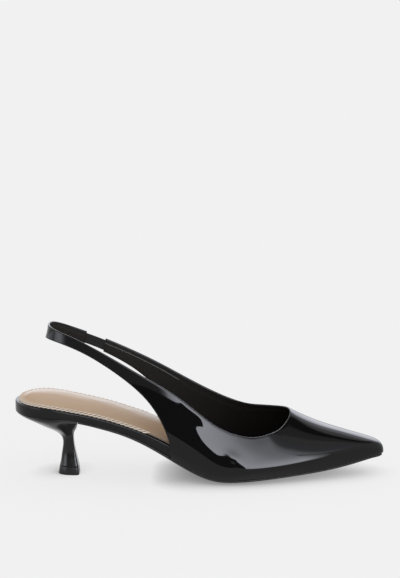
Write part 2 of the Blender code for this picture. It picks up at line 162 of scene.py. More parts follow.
# The heel, a row for each level. "height" is a share of HEEL_HEIGHT, "gather" says how far the
# seat's outline has closed onto the stem, and the stem reaches from "back" to "front", shares of
# LENGTH, with half its width "half", a share of BALL_WIDTH.
HEEL_COLUMNS = ("height", "gather", "back", "front", "half")
HEEL = (
    (1.000, 0.000, 0.130, 0.168, 0.085),
    (0.940, 0.110, 0.130, 0.166, 0.082),
    (0.860, 0.340, 0.129, 0.163, 0.075),
    (0.780, 0.560, 0.129, 0.160, 0.068),
    (0.700, 0.770, 0.129, 0.157, 0.061),
    (0.620, 0.920, 0.129, 0.1565, 0.057),
    (0.540, 0.985, 0.129, 0.1575, 0.055),
    (0.460, 1.000, 0.128, 0.159, 0.056),
    (0.320, 1.000, 0.1245, 0.1635, 0.064),
    (0.200, 1.000, 0.1215, 0.168, 0.082),
    (0.000, 1.000, 0.107, 0.177, 0.114),
)
HEEL_BREAST = 0.174  # front of the heel under the footbed, a share of LENGTH
HEEL_CENTRE = 0.115  # middle of the seat, a share of LENGTH
HEEL_INSET = 0.0001  # how far the seat is set in from the footbed's edge
STEM_BACK_ROUNDNESS = 2.4
STEM_FRONT_ROUNDNESS = 6.0
STEM_SHIFT = 0.5  # how far ahead of its middle the stem is widest, a share of half its length
SIDE_HOLD = 0.45  # how much later the seat's sides close onto the stem than its back
SIDE_FROM = 0.2  # cosine of the way round the heel where that starts, and how far on it is full
SIDE_BLEND = 0.6
TOP_PIECE_FLARE = 0.10  # how much wider the top piece is on the floor than under the stem
TOP_PIECE_ROUND = 0.0005

# The padded sock: a rounded rim and a soft crown
SOCK_INSET = 0.0011  # how far the rim is set in from the band's edge
SOCK_TOE = 0.0040  # how far it is drawn in at the toe tip
SOCK_REAR = 0.0014  # how much further it is set in at the back of the seat
SOCK_REAR_REACH = 0.18  # how far round the seat that goes, in the outline's parameter
SOCK_PROFILE = (  # inset and height, from the foot of the rim inwards
    (0.0005, 0.0000), (0.0001, 0.0003), (0.0000, 0.0007), (0.0001, 0.0011), (0.0004, 0.0014),
    (0.0009, 0.0016), (0.0015, 0.00168), (0.0022, 0.0017), (0.0032, 0.0018), (0.0044, 0.0020),
)
SOCK_RIM = 4  # bands of the profile that are its cut edge, darker brown, which also paints the shade between the stitches
SOCK_CROWN = 0.0016
SOCK_NARROW = 0.03  # the crown is lower where the sock is narrower than this
SOCK_SHADE_NEAR = 0.04  # how close the upper has to be for the painted shade that dims the sock's colour
SOCK_TONES = ((0.40, 0.273, 0.168), (0.42, 0.289, 0.180))
SOCK_SHEEN_SPAN = (0.70, 0.87)  # how far the face turns from the eye where the sheen comes in
SOCK_GLOSS = 0.45

# Soft ripples in the sock: place along it, a share of LENGTH, and across it, a share of its width,
# then half length and half width as shares of LENGTH, lean and height
RIPPLE_BREADTH = 0.2  # the sock's width as a share of LENGTH
SOCK_RIPPLES = (
    (0.15, 0.80, 0.030, 0.012, 0.1, 0.00012),
    (0.22, 0.68, 0.025, 0.012, -0.4, 0.00012),
    (0.26, 0.80, 0.025, 0.011, 0.5, 0.00012),
    (0.30, 0.66, 0.025, 0.011, -0.3, 0.00012),
    (0.33, 0.80, 0.025, 0.011, 0.4, 0.00012),
)

# Whip stitches along the rim
STITCH_PITCH = 0.0033
STITCH_LENGTH = 0.0060
STITCH_WIDTH = 0.0016
STITCH_HEIGHT = 0.0008
STITCH_LEAN = math.radians(18)
STITCH_INSET = 0.0004  # how far in from the rim's edge
STITCH_RISE = 0.0008  # how far above the rim's foot
STITCH_FACING = math.radians(30)  # how far above the level they face
STITCH_END = 0.36  # where the stitching stops, a share of the footbed's length

# How finely the curved faces are divided
OUTLINE_STEPS = 480
STATION_STEP = 0.0008
EDGE_SAMPLES = 2000  # points on a pattern edge before it is evened out
EDGE_CROWDING = 3  # how much they crowd where the edge comes down to the sole
WALL_STEPS = 44
FAN_REACH = 40  # stations over which the topline's stations are evened out
LINING_STEPS = 12
ROLL_STEPS = 6
ROUND_STEPS = 5
ELASTIC_STATIONS = 30
ELASTIC_RIB_STEPS = 8
HEEL_STEPS = 160
HEEL_LEVELS = 90
SOCK_CROSSINGS = 40
STITCH_PATH_STEPS = 600
STITCH_SEGMENTS = 12
STITCH_RINGS = 8
SEAT_SAMPLES = 1600
NUDGE = 1e-3  # step for the slopes of the last's face
OUTLINE_NUDGE = 1e-4  # the same along the outline
TINY = 1e-12  # the least length that a direction is taken from
MITRE_LIMIT = 0.5  # an inset is stretched at a corner by up to 1 over this

# Where the part's own origin lies in the frame: back of the footbed, on the shoe's middle line
SHIFT = np.array(
    [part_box("footbed")[0].x, (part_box("top_piece")[0].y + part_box("top_piece")[1].y) / 2, 0.0]
)


def ease(share):
    """A smooth step from 0 to 1."""
    share = np.clip(share, 0, 1)
    return share * share * (3 - 2 * share)


def columns(names, rows):
    """A table's columns by name."""
    return dict(zip(names, np.array(rows).T))


sole = columns(SOLE_COLUMNS, SOLE)
last = columns(LAST_COLUMNS, LAST)
heel = columns(HEEL_COLUMNS, HEEL)


def turn(along):
    """The outline's parameter, 0 at the heel and 1 at the toe, for a share of the length."""
    return np.arccos(1 - 2 * np.clip(along, 0, 1)) / math.pi


def ring_spline(knots, values, at):
    """A smooth closed curve through the values, as a function of the outline's parameter."""
    count = len(knots)
    step = np.diff(np.append(knots, knots[0] + RING))
    slope = np.diff(np.append(values, values[0])) / step
    matrix = np.zeros((count, count))
    for i in range(count):
        matrix[i, i - 1] += step[i - 1]
        matrix[i, i] += 2 * (step[i - 1] + step[i])
        matrix[i, (i + 1) % count] += step[i]
    bend = np.linalg.solve(matrix, 6 * (slope - np.roll(slope, 1)))
    at = np.mod(at, RING)
    i = np.clip(np.searchsorted(knots, at, "right") - 1, 0, count - 1)
    j = (i + 1) % count
    u = at - knots[i]
    lean = slope[i] - step[i] * (2 * bend[i] + bend[j]) / 6
    return values[i] + u * lean + u**2 * bend[i] / 2 + u**3 * (bend[j] - bend[i]) / (6 * step[i])


def both_sides(along, lateral, medial, at):
    """A ring spline through one value per row on the lateral side and one on the medial side."""
    there = turn(along)
    knots = np.concatenate([there, RING - there[-2:0:-1]])
    values = np.concatenate([lateral, medial[-2:0:-1]])
    return ring_spline(knots, values, at)


def plan(at, grow):
    """Points of the footbed's outline grown by this much, with the directions that face out."""
    def point(s):
        x = FOOTBED_LENGTH * (1 - np.cos(math.pi * s)) / 2
        y = both_sides(sole["along"], -sole["lateral"], sole["medial"], s) * BALL_WIDTH
        return x, y

    x, y = point(at)
    ahead, behind = point(at + OUTLINE_NUDGE), point(at - OUTLINE_NUDGE)
    run, side = ahead[0] - behind[0], ahead[1] - behind[1]
    size = np.hypot(run, side)
    out = np.stack([side / size, -run / size, np.zeros_like(size)], axis=-1)
    return x + grow * out[:, 0], y + grow * out[:, 1], out


def underside(x):
    """Height of the footbed's underside."""
    at = turn(x / FOOTBED_LENGTH)
    return both_sides(sole["along"], sole["rise"], sole["rise"], at) * HEEL_HEIGHT


def upside(x):
    """Height of the footbed's top face."""
    at = turn(x / FOOTBED_LENGTH)
    return underside(x) + both_sides(sole["along"], sole["board"], sole["board"], at)


def spline_weights(t, index, degree, knots):
    """The share that one control point has in a B-spline at each t."""
    if degree == 0:
        final = knots[index + 1] == knots[-1]
        inside = (knots[index] <= t) & ((t < knots[index + 1]) | (final & (t <= knots[-1])))
        return np.where(inside & (knots[index] < knots[index + 1]), 1.0, 0.0)
    total = np.zeros_like(t)
    before = knots[index + degree] - knots[index]
    after = knots[index + degree + 1] - knots[index + 1]
    if before > 0:
        total += (t - knots[index]) / before * spline_weights(t, index, degree - 1, knots)
    if after > 0:
        left = (knots[index + degree + 1] - t) / after
        total += left * spline_weights(t, index + 1, degree - 1, knots)
    return total


def last_column(name, at, lateral_sign=1.0):
    """A column of the last at places along the outline, with the lateral side's sign."""
    lateral = last.get(name, last.get(name + "_lateral"))
    medial = last.get(name, last.get(name + "_medial"))
    return both_sides(last["along"], lateral_sign * lateral, medial, at)


def wall(at, t):
    """Points on the last's face: at along the sole's edge, t from the sole (0) to the topline (1)."""
    shape = np.shape(at)
    at, t = np.ravel(at), np.clip(np.ravel(t), 0, 1)
    x, y, out = plan(at, WALL + GAP)
    foot = np.stack([x, y, underside(x)], axis=-1)
    head = np.stack(
        [
            last_column("top_x", at) * LENGTH,
            last_column("top", at, -1.0) * BALL_WIDTH,
            last_column("high", at) * STRAP_HEIGHT,
        ],
        axis=-1,
    )
    up = np.array([0.0, 0.0, 1.0])
    chord = head - foot
    stands = out + up
    along = np.sum(stands * chord, axis=-1) / np.sum(chord * chord, axis=-1)
    off = stands - along[:, None] * chord
    off /= np.linalg.norm(off, axis=-1)[:, None]
    rise = last_column("rise", at)[:, None] * BALL_WIDTH
    flare = last_column("flare", at)[:, None] * BALL_WIDTH
    points = [foot, foot + rise * up + flare * out]
    for share, name in zip(SWELLS_AT, ("swell_low", "swell_mid", "swell_high")):
        points.append(foot + share * chord + last_column(name, at)[:, None] * BALL_WIDTH * off)
    points.append(head)
    degree = 3
    inner = np.linspace(0, 1, len(points) - degree + 1)
    knots = np.concatenate([np.zeros(degree), inner, np.ones(degree)])
    face = sum(
        spline_weights(t, index, degree, knots)[:, None] * point
        for index, point in enumerate(points)
    )
    return face.reshape(shape + (3,))


def cut(at):
    """Where the pattern's lower edge crosses the section line: the sole, or the strap's edge."""
    at = np.mod(at + RING / 2, RING) - RING / 2
    lateral = ease((at + STRAP_BLEND) / (2 * STRAP_BLEND))
    strap = STRAP_CUT_MEDIAL + (STRAP_CUT_LATERAL - STRAP_CUT_MEDIAL) * lateral
    share = np.abs(at) / turn(QUARTER_FOOT)
    return strap * np.clip(1 - share**CUT_REACH, 0, 1) ** (1 / CUT_DROP)


def unit(vectors):
    return vectors / np.maximum(np.linalg.norm(vectors, axis=-1), TINY)[..., None]


def slopes(at, t):
    """How the last's face moves with at and with t."""
    along = (wall(at + NUDGE, t) - wall(at - NUDGE, t)) / (2 * NUDGE)
    high, low = np.minimum(t + NUDGE, 1), np.maximum(t - NUDGE, 0)
    return along, (wall(at, high) - wall(at, low)) / (high - low)[..., None]


# Meshes


def add_object(name, data):
    obj = bpy.data.objects.new(name, data)
    bpy.context.scene.collection.objects.link(obj)
    return obj


def mesh_piece(name, node, points, faces, materials, kinds=None):
    """A piece of the dressed shoe that stands for a node of the part."""
    mesh = bpy.data.meshes.new(name)
    mesh.from_pydata((np.asarray(points) + SHIFT).tolist(), [], faces)
    for material in materials:
        mesh.materials.append(material)
    if kinds is not None:
        mesh.polygons.foreach_set("material_index", kinds)
    mesh.shade_smooth()
    mesh.update()
    obj = add_object(name, mesh)
    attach(obj, "root")
    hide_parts(node)
    return obj


def bridge(low, high):
    """Faces between two closed rings, facing out where the rings run anticlockwise from above."""
    return [(low[i - 1], low[i], high[i], high[i - 1]) for i in range(len(low))]


class Body:
    """Points and faces of a piece built from rings."""

    def __init__(self):
        self.points = []
        self.faces = []

    def ring(self, points):
        start = len(self.points)
        self.points.extend(np.asarray(points).tolist())
        return list(range(start, len(self.points)))

    def bridge_all(self, rings):
        for low, high in zip(rings, rings[1:]):
            self.faces.extend(bridge(low, high))

    def span(self, ring, whole, facing_up, crossings=1, height=None):
        """Faces across an outline from its lateral side to its medial side."""
        count = len(ring) if whole else len(ring) - 1
        rows = []
        for i in range(count // 2 + 1):
            start, end = ring[i], ring[(count - i) % len(ring)]
            if start == end:
                rows.append([start] * (crossings + 1))
                continue
            share = np.arange(1, crossings) / crossings
            a, b = np.array(self.points[start]), np.array(self.points[end])
            inner = a + share[:, None] * (b - a)
            if height is not None:
                inner[:, 2] += height(inner[:, 0], share, np.linalg.norm(b - a))
            rows.append([start, *self.ring(inner), end])
        for behind, ahead in zip(rows, rows[1:]):
            for k in range(crossings):
                corners = tuple(dict.fromkeys((behind[k], ahead[k], ahead[k + 1], behind[k + 1])))
                if len(corners) > 2:
                    self.faces.append(corners if facing_up else corners[::-1])


def slab(levels, start=0.0, crossings=1, height=None):
    """A body that follows the outline. Each level is how far it grows and how high it is there."""
    whole = start == 0.0
    at = np.linspace(start, RING - start, OUTLINE_STEPS + 1)
    if whole:
        at = at[:-1]
    body = Body()
    rings = []
    for grow, level in levels:
        x, y, _ = plan(at, grow(at))
        rings.append(body.ring(np.stack([x, y, level(x)], axis=-1)))
    body.bridge_all(rings)
    body.span(rings[0], whole, False)
    body.span(rings[-1], whole, True, crossings, height)
    return body


# Materials


def principled(name, colour, roughness, **sockets):
    """A Principled material and its shader, with constant sockets set directly."""
    material = bpy.data.materials.new(name)
    material.use_nodes = True
    shader = material.node_tree.nodes["Principled BSDF"]
    shader.inputs["Base Color"].default_value = (*colour, 1.0)
    shader.inputs["Roughness"].default_value = roughness
    for key, value in sockets.items():
        shader.inputs[key.replace("_", " ")].default_value = value
    return material, shader


def add_grain(material, shader, scale, strength, distance, detail=2.0):
    """Fine relief from noise in the object's own coordinates."""
    tree = material.node_tree
    place = tree.nodes.new("ShaderNodeTexCoord")
    noise = tree.nodes.new("ShaderNodeTexNoise")
    noise.inputs["Scale"].default_value = scale
    noise.inputs["Detail"].default_value = detail
    bump = tree.nodes.new("ShaderNodeBump")
    bump.inputs["Strength"].default_value = strength
    bump.inputs["Distance"].default_value = distance
    tree.links.new(place.outputs["Object"], noise.inputs["Vector"])
    tree.links.new(noise.outputs["Fac"], bump.inputs["Height"])
    tree.links.new(bump.outputs["Normal"], shader.inputs["Normal"])
    return noise.outputs["Fac"]


def tone_between(tree, share, tones):
    """A colour that goes from one tone to another with the share."""
    mix = tree.nodes.new("ShaderNodeMix")
    mix.data_type = "RGBA"
    mix.inputs["A"].default_value = (*tones[0], 1.0)
    mix.inputs["B"].default_value = (*tones[1], 1.0)
    tree.links.new(share, mix.inputs["Factor"])
    return mix.outputs["Result"]


def ramp(tree, value, span, kind):
    """A share that goes from 0 to 1 as the value passes through a span."""
    share = tree.nodes.new("ShaderNodeMapRange")
    share.interpolation_type = kind
    share.inputs["From Min"].default_value = span[0]
    share.inputs["From Max"].default_value = span[1]
    tree.links.new(value, share.inputs["Value"])
    return share.outputs["Result"]


def times(tree, value, factor):
    product = tree.nodes.new("ShaderNodeMath")
    product.operation = "MULTIPLY"
    product.inputs[1].default_value = factor
    tree.links.new(value, product.inputs[0])
    return product.outputs["Value"]


def openness(tree, distance):
    """A node that tells how free a face is of things closer than this."""
    near = tree.nodes.new("ShaderNodeAmbientOcclusion")
    near.inputs["Distance"].default_value = distance
    return near


def patent_leather():
    material, _ = principled(
        "black_patent", (0.002, 0.002, 0.0022), 0.4,
        Specular_IOR_Level=0.0, Coat_Weight=1.0, Coat_Roughness=0.02, Coat_IOR=1.33,
    )
    return material


def lining_leather():
    material, shader = principled("black_lining", LINING_SHADE_TONES[1], 0.62, Specular_IOR_Level=0.06)
    add_grain(material, shader, scale=1400, strength=0.35, distance=0.0001)
    tree = material.node_tree
    # painted shade: the lining's colour darkens towards the front, deeper inside the shoe
    place = tree.nodes.new("ShaderNodeTexCoord")
    parts = tree.nodes.new("ShaderNodeSeparateXYZ")
    tree.links.new(place.outputs["Object"], parts.inputs["Vector"])
    along = ramp(tree, parts.outputs["X"], LINING_SHADE_SPAN, "LINEAR")
    tree.links.new(tone_between(tree, along, LINING_SHADE_TONES), shader.inputs["Base Color"])
    return material


def lining_edge():
    material, _ = principled("grey_lining_edge", (0.08, 0.08, 0.08), 0.6, Specular_IOR_Level=0.3)
    return material


def edge_cover():
    material, shader = principled(
        "black_edge_cover", (0.005, 0.005, 0.0051), 0.26, Specular_IOR_Level=0.2
    )
    add_grain(material, shader, scale=1600, strength=0.12, distance=0.00005)
    return material


def heel_cover():
    material, shader = principled(
        "black_heel_cover", (0.006, 0.006, 0.0062), 0.35,
        Specular_IOR_Level=0.05, Coat_Weight=1.0, Coat_Roughness=0.12, Coat_IOR=1.31,
    )
    add_grain(material, shader, scale=1200, strength=0.08, distance=0.00003, detail=1.0)
    return material


def sock_leather():
    material, shader = principled(
        "tan_sock", (0.40, 0.275, 0.172), 0.5,
        Specular_IOR_Level=0.045, Coat_Roughness=0.3, Coat_IOR=1.5,
        Sheen_Roughness=0.25, Sheen_Tint=(1.0, 1.0, 1.0, 1.0),
    )
    grain = add_grain(material, shader, scale=1500, strength=0.16, distance=0.00008)
    tree = material.node_tree
    weight = tree.nodes.new("ShaderNodeLayerWeight")
    sheen = ramp(tree, weight.outputs["Facing"], SOCK_SHEEN_SPAN, "SMOOTHSTEP")
    tree.links.new(sheen, shader.inputs["Sheen Weight"])
    tree.links.new(times(tree, sheen, SOCK_GLOSS), shader.inputs["Coat Weight"])
    # painted shade: the sock's colour is darkened where the upper stands close
    near = openness(tree, SOCK_SHADE_NEAR)
    tree.links.new(tone_between(tree, grain, SOCK_TONES), near.inputs["Color"])
    tree.links.new(near.outputs["Color"], shader.inputs["Base Color"])
    return material


def sock_edge():
    # the rim's cut edge: a darker brown that is partly its own colour and partly painted shade in the
    # gaps between the stitches
    material, _ = principled("brown_sock_edge_and_gap_shade", (0.17, 0.13, 0.095), 0.6, Specular_IOR_Level=0.2)
    return material


def stitch_thread():
    material, shader = principled("pale_stitch", (0.58, 0.49, 0.40), 0.5, Specular_IOR_Level=0.4)
    add_grain(material, shader, scale=2600, strength=0.2, distance=0.00005)
    return material


def rubber(name, shade, roughness):
    material, shader = principled(name, (shade, shade, shade), roughness, Specular_IOR_Level=0.25)
    add_grain(material, shader, scale=2200, strength=0.25, distance=0.00006)
    return material


def webbing():
    material, shader = principled("black_webbing", (0.012, 0.012, 0.0125), 0.8, Specular_IOR_Level=0.2)
    add_grain(material, shader, scale=5200, strength=0.5, distance=0.00012)
    return material


# The upper and the elastic


def resample(at, t, step):
    """Even stations along a line drawn on the last."""
    points = wall(at, t)
    run = np.concatenate([[0.0], np.cumsum(np.linalg.norm(np.diff(points, axis=0), axis=1))])
    marks = np.linspace(0, run[-1], round(run[-1] / step) + 1)
    return np.interp(marks, run, at), np.interp(marks, run, t)


def pattern_edge():
    """The upper's lower edge from the strap's end to the tab's end, as even stations on the last."""
    foot = float(turn(QUARTER_FOOT))
    share = 1 - np.linspace(1, 0, EDGE_SAMPLES) ** EDGE_CROWDING
    pieces = []
    for start, end in ((GORE_STRAP_END - RING, foot), (GORE_TAB_END, RING - foot)):
        at = start + (end - start) * share
        pieces.append(resample(at, cut(at), STATION_STEP))
    at = np.linspace(foot, RING - foot, EDGE_SAMPLES)
    ground = resample(at, np.zeros_like(at), STATION_STEP)
    rear, front = pieces[0], [line[::-1] for line in pieces[1]]
    at = np.concatenate([rear[0][:-1], [foot], ground[0][2:-2], [RING - foot], front[0][1:]])
    t = np.concatenate([rear[1][:-1], [0.0], ground[1][2:-2], [0.0], front[1][1:]])
    corner = np.isin(at, (foot, RING - foot))
    near = np.roll(corner, -1) | np.roll(corner, 1)
    return at[~near], t[~near]


def fan(at):
    """The topline's stations: the lower edge's, evened out so that they fan out above the foot."""
    before = 2 * at[0] - at[FAN_REACH:0:-1]
    after = 2 * at[-1] - at[-2:-FAN_REACH - 2:-1]
    weights = np.hanning(2 * FAN_REACH + 3)[1:-1]
    return np.convolve(np.concatenate([before, at, after]), weights / weights.sum(), "valid")


def inset_line(at, t, inset, side):
    """A line on the last moved in from an edge, with the face's normals and the way out of the edge."""
    along, rise = slopes(at, t)
    normal = unit(np.cross(along, rise))
    steps = unit(np.diff(wall(at, t), axis=0))
    before, after = np.concatenate([steps[:1], steps]), np.concatenate([steps, steps[-1:]])
    path = unit(before + after)
    inwards = side * unit(np.cross(normal, path))
    inset = inset / np.maximum(np.sum(before * path, axis=-1), MITRE_LIMIT)
    aa, ab, bb = (np.sum(p * q, axis=-1) for p, q in ((along, along), (along, rise), (rise, rise)))
    a, b = (np.sum(p * inwards, axis=-1) * inset for p in (along, rise))
    size = aa * bb - ab * ab
    return at + (a * bb - b * ab) / size, t + (b * aa - a * ab) / size, -inwards


def skin(bottom, top, thickness, relief, lined, wall_steps):
    """Rings of a sheet on the last with rolled edges: outer face, top roll, inner face, bottom roll."""
    radius = thickness / 2
    low_at, low_t, low_out = inset_line(*bottom, radius, 1.0)
    top_at, top_t, top_out = inset_line(*top, radius, -1.0)

    def face(v):
        at = low_at[:, None] + (top_at - low_at)[:, None] * v
        t = low_t[:, None] + (top_t - low_t)[:, None] * v
        normal = unit(np.cross(*slopes(at, t)))
        return wall(at, t) + relief(at, t)[..., None] * normal, normal

    outer, normal = face(np.linspace(0, 1, wall_steps + 1)[None, :])
    length = np.sum(np.linalg.norm(np.diff(outer, axis=1), axis=-1), axis=1)
    if lined:
        folds = np.array(FOLD_ROWS) * FOLD / length[:, None]
        rest = np.linspace(0, 1, LINING_STEPS + 1)[None, 1:]
        down = np.concatenate([folds, folds[:, -1:] + (1 - folds[:, -1:]) * rest], axis=1)
        proud = LINING_STEP * ease((1 - down) / LINING_FADE)
        proud[:, :CUT_EDGE_ROW + 1] = 0
    else:
        down = np.linspace(0, 1, wall_steps + 1)[None, :] * np.ones((len(length), 1))
        proud = np.zeros_like(down)
    inner, inner_normal = face(1 - down)
    inner = inner - (thickness + proud)[..., None] * inner_normal
    angle = np.linspace(0, math.pi, ROLL_STEPS + 2)[1:-1][None, :, None]
    rolls = []
    for place, out, way in ((-1, top_out, 1.0), (0, low_out, -1.0)):
        up = normal[:, place, None, :]
        centre = outer[:, place, None, :] - radius * up
        rolls.append(centre + radius * (way * up * np.cos(angle) + out[:, None, :] * np.sin(angle)))
    rings = np.concatenate([outer, rolls[0], inner, rolls[1]], axis=1)
    kinds = np.zeros(rings.shape[1], int)
    if lined:
        first = outer.shape[1] + ROLL_STEPS
        kinds[first:first + down.shape[1] - 1] = 1
        kinds[first + CUT_EDGE_ROW] = 2
    return rings, np.tile(kinds, (len(outer) - 1, 1))


def skin_piece(name, node, rings, kinds, materials):
    """A piece made of a sheet's rings, closed at both ends."""
    count, size = rings.shape[:2]
    index = np.arange(count * size).reshape(count, size)
    ahead = np.roll(index, -1, axis=1)
    quads = np.stack([index[:-1], index[1:], ahead[1:], ahead[:-1]], axis=-1).reshape(-1, 4)
    faces = quads.tolist() + [index[0].tolist(), index[-1].tolist()[::-1]]
    face_kinds = kinds.ravel().tolist() + [0, 0]
    mesh_piece(name, node, rings.reshape(-1, 3), faces, materials, face_kinds)


def fold_relief(at, t):
    """How far the soft folds and the lip along the throat lift the outer side of the upper."""
    face = wall(at, t)
    x, y, z = np.moveaxis(face, -1, 0)
    lift = np.zeros_like(x)
    for along, high, length, width, lean, height in FOLDS:
        run = (x - along) * math.cos(lean) + (z - high) * math.sin(lean)
        over = (z - high) * math.cos(lean) - (x - along) * math.sin(lean)
        lift += height * np.exp(-((run / length) ** 2) - (over / width) ** 2)
    start, full, fall, end = LIP_SPAN
    below = np.linalg.norm(wall(at, np.ones_like(t)) - face, axis=-1)
    there = ease((at - start) / (full - start)) * ease((end - at) / (end - fall))
    lift += LIP * np.exp(-below / LIP_DEPTH) * there
    return lift * (y < 0)


def build_upper():
    at, t = pattern_edge()
    top = fan(at)
    rings, kinds = skin((at, t), (top, np.ones_like(top)), WALL, fold_relief, True, WALL_STEPS)
    hidden = (top[:-1] < CUT_EDGE_SEEN[0]) | (top[:-1] > CUT_EDGE_SEEN[1])
    kinds[hidden] = np.minimum(kinds[hidden], 1)
    materials = [patent_leather(), lining_leather(), lining_edge()]
    skin_piece("upper_dressed", "upper", rings, kinds, materials)


def build_elastic():
    at = np.linspace(GORE_TAB_END - GORE_TUCK, GORE_STRAP_END + GORE_TUCK, ELASTIC_STATIONS)
    margin = GORE_MARGIN * (1 - cut(at))
    low, high = cut(at) + margin, 1 - margin

    def relief(at, t):
        share = (t - cut(at)) / (1 - cut(at))
        return ELASTIC_RIB * np.cos(2 * math.pi * ELASTIC_RIBS * share) - ELASTIC_SUNK

    steps = ELASTIC_RIB_STEPS * ELASTIC_RIBS
    rings, kinds = skin((at, low), (at, high), ELASTIC, relief, False, steps)
    skin_piece("elastic_ribbed", "elastic", rings, kinds, [webbing()])


# The sole


def toe_shrink(at, inset, toe):
    """Draws an outline in by inset, and by toe more at the very tip, where the upper closes over."""
    return -inset - toe * ease((np.minimum(at, RING - at) - TOE_BOX) / (1 - TOE_BOX))


def quarter_round(radius):
    """Insets and drops of a rounded edge, from the side face to the top face."""
    angle = np.linspace(0, math.pi / 2, ROUND_STEPS)
    return [(radius * (1 - math.cos(a)), radius * (1 - math.sin(a))) for a in angle]


def build_outsole():
    breast = float(turn((HEEL_BREAST * LENGTH + GAP) / FOOTBED_LENGTH))
    forepart = float(turn(QUARTER_FOOT))

    def edge(at):
        ahead = ease((np.minimum(at, RING - at) - breast) / (forepart - breast))
        return WALL + GAP - OUTSOLE_WAIST_TUCK + (OUTSOLE_WAIST_TUCK - OUTSOLE_TUCK) * ahead

    def tread(at):
        return edge(at) - TREAD_EDGE - (TREAD_INSET - TREAD_EDGE) * np.sin(math.pi * at) ** 2

    def low(x):
        return underside(x) - GAP - OUTSOLE

    def lowest(x):
        ball = np.exp(-(((x / LENGTH - TREAD_MIDDLE) / TREAD_SPREAD) ** 2))
        return np.maximum(low(x) - TREAD_WAIST - (TREAD - TREAD_WAIST) * ball, 0)

    levels = [(tread, lowest)]
    for inset, drop in reversed(quarter_round(OUTSOLE_ROUND)):
        levels.append((lambda at, i=inset: edge(at) - i, lambda x, d=drop: low(x) + d))
    levels.append((edge, lambda x: low(x) + OUTSOLE))
    body = slab(levels, start=breast)
    mesh_piece(
        "outsole_rubber_sole", "outsole", body.points, body.faces,
        [rubber("black_sole_rubber", 0.012, 0.6)],
    )


def build_footbed():
    levels = []
    for inset, drop in reversed(quarter_round(BAND_FOOT_ROUND)):
        levels.append((inset, lambda x, d=drop: underside(x) + d))
    for inset, drop in quarter_round(BAND_ROUND):
        levels.append((inset, lambda x, d=drop: upside(x) - d))
    body = slab(
        [(lambda at, i=inset: toe_shrink(at, i, FOOTBED_TOE), height) for inset, height in levels]
    )
    mesh_piece("footbed_covered", "footbed", body.points, body.faces, [edge_cover()])


def sock_edge_line(at, inset):
    """How far the sock's outline grows from the footbed's, drawn in at the toe and behind."""
    rear = 1 - ease(np.minimum(np.abs(at), RING - at) / SOCK_REAR_REACH)
    return toe_shrink(at, SOCK_INSET + inset, SOCK_TOE) - SOCK_REAR * rear


def build_sock():
    levels = [
        (lambda at, i=inset: sock_edge_line(at, i), lambda x, h=height: upside(x) + GAP + h)
        for inset, height in SOCK_PROFILE
    ]

    def crown(x, share, width):
        height = SOCK_CROWN * (1 - (2 * share - 1) ** 2) * ease(width / SOCK_NARROW)
        for along, across, length, breadth, lean, rise in SOCK_RIPPLES:
            u = x / LENGTH - along
            v = (share - across) * RIPPLE_BREADTH
            run = u * math.cos(lean) + v * math.sin(lean)
            over = v * math.cos(lean) - u * math.sin(lean)
            height = height + rise * np.exp(-((run / length) ** 2) - (over / breadth) ** 2)
        return height

    body = slab(levels, crossings=SOCK_CROSSINGS, height=crown)
    kinds = np.zeros(len(body.faces), int)
    kinds[:SOCK_RIM * OUTLINE_STEPS] = 1
    obj = mesh_piece(
        "sock_padded", "sock", body.points, body.faces,
        [sock_leather(), sock_edge()], kinds.tolist(),
    )


def stitch_nodes(material):
    """Leaning stitches set at an even pitch along a path, facing the way stored on the path."""
    tree = bpy.data.node_groups.new("whip_stitches", "GeometryNodeTree")
    face = tree.interface
    face.new_socket("Geometry", in_out="INPUT", socket_type="NodeSocketGeometry")
    for name in ("Pitch", "Length", "Width", "Height", "Lean"):
        face.new_socket(name, in_out="INPUT", socket_type="NodeSocketFloat")
    face.new_socket("Geometry", in_out="OUTPUT", socket_type="NodeSocketGeometry")
    add, link = tree.nodes.new, tree.links.new
    given, result = add("NodeGroupInput"), add("NodeGroupOutput")
    curve = add("GeometryNodeMeshToCurve")
    even = add("GeometryNodeResampleCurve")
    even.mode = "LENGTH"
    tangent = add("GeometryNodeInputTangent")
    facing = add("GeometryNodeInputNamedAttribute")
    facing.data_type = "FLOAT_VECTOR"
    facing.inputs["Name"].default_value = "facing"
    follow = add("FunctionNodeAlignRotationToVector")
    follow.axis = "X"
    stand = add("FunctionNodeAlignRotationToVector")
    stand.axis = "Z"
    stand.pivot_axis = "X"
    bead = add("GeometryNodeMeshUVSphere")
    bead.inputs["Segments"].default_value = STITCH_SEGMENTS
    bead.inputs["Rings"].default_value = STITCH_RINGS
    bead.inputs["Radius"].default_value = 0.5
    size = add("ShaderNodeCombineXYZ")
    lean = add("ShaderNodeCombineXYZ")
    shape = add("GeometryNodeTransform")
    place = add("GeometryNodeInstanceOnPoints")
    real = add("GeometryNodeRealizeInstances")
    smooth = add("GeometryNodeSetShadeSmooth")
    paint = add("GeometryNodeSetMaterial")
    paint.inputs["Material"].default_value = material
    for name, axis in (("Length", "X"), ("Width", "Y"), ("Height", "Z")):
        link(given.outputs[name], size.inputs[axis])
    for start, output, end, entry in (
        (given, "Lean", lean, "Z"),
        (bead, "Mesh", shape, "Geometry"),
        (size, "Vector", shape, "Scale"),
        (lean, "Vector", shape, "Rotation"),
        (given, "Geometry", curve, "Mesh"),
        (curve, "Curve", even, "Curve"),
        (given, "Pitch", even, "Length"),
        (tangent, "Tangent", follow, "Vector"),
        (follow, "Rotation", stand, "Rotation"),
        (facing, "Attribute", stand, "Vector"),
        (even, "Curve", place, "Points"),
        (shape, "Geometry", place, "Instance"),
        (stand, "Rotation", place, "Rotation"),
        (place, "Instances", real, "Geometry"),
        (real, "Geometry", smooth, "Geometry"),
        (smooth, "Geometry", paint, "Geometry"),
        (paint, "Geometry", result, "Geometry"),
    ):
        link(start.outputs[output], end.inputs[entry])
    return tree


